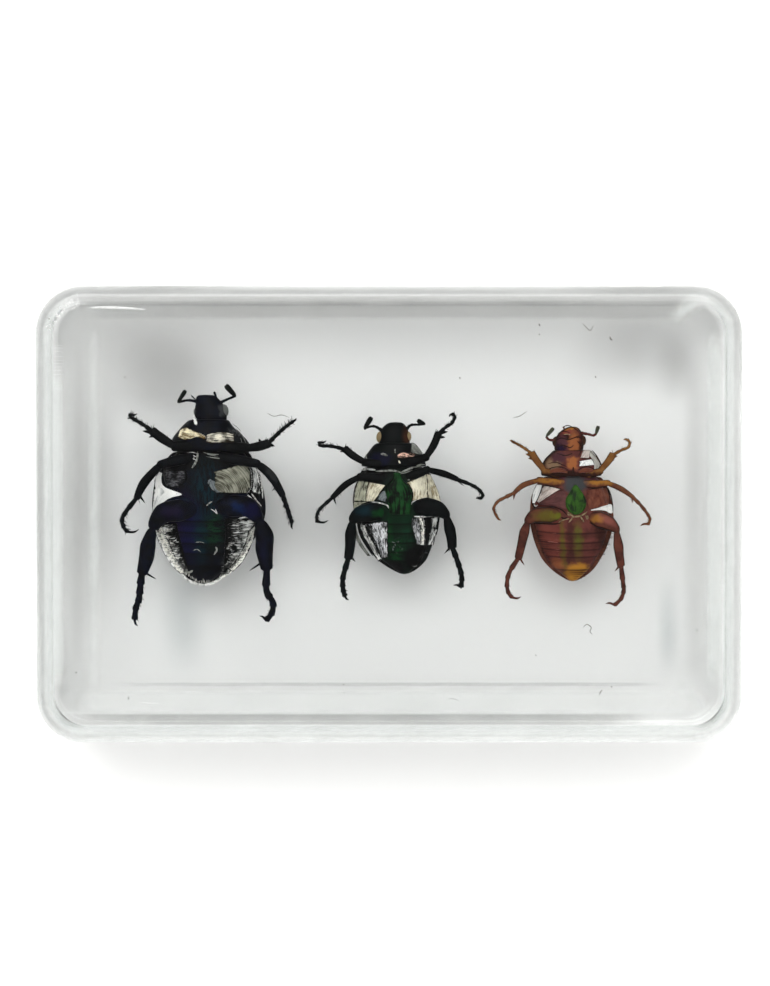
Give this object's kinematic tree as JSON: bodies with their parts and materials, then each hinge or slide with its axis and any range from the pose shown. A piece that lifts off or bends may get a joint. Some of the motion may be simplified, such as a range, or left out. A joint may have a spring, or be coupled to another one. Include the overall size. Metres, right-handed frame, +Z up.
{
  "type": "insect in resin block",
  "caption": "Clear cast resin paperweight block with dried chafer beetles sealed inside, bellies up, in blue-black, green-black and brown.",
  "frame": {"origin": "middle of the block's flat base", "axes": "+X along the block's length, +Y towards the beetles' heads, +Z up through the block towards the beetles' bellies"},
  "size_m": [0.11, 0.0712, 0.022],
  "materials": {
    "clear_resin": "polished clear casting resin",
    "blue_black_shell": "glossy blue-black insect shell with silvery air films",
    "green_black_shell": "glossy green-black insect shell with silvery air films",
    "brown_shell": "glossy red-brown insect shell"
  },
  "bodies": {
    "root": {"resin_lower_half": "clear_resin", "resin_upper_half": "clear_resin", "blue_beetle": "blue_black_shell", "green_beetle": "green_black_shell", "brown_beetle": "brown_shell"}
  },
  "joints": []
}
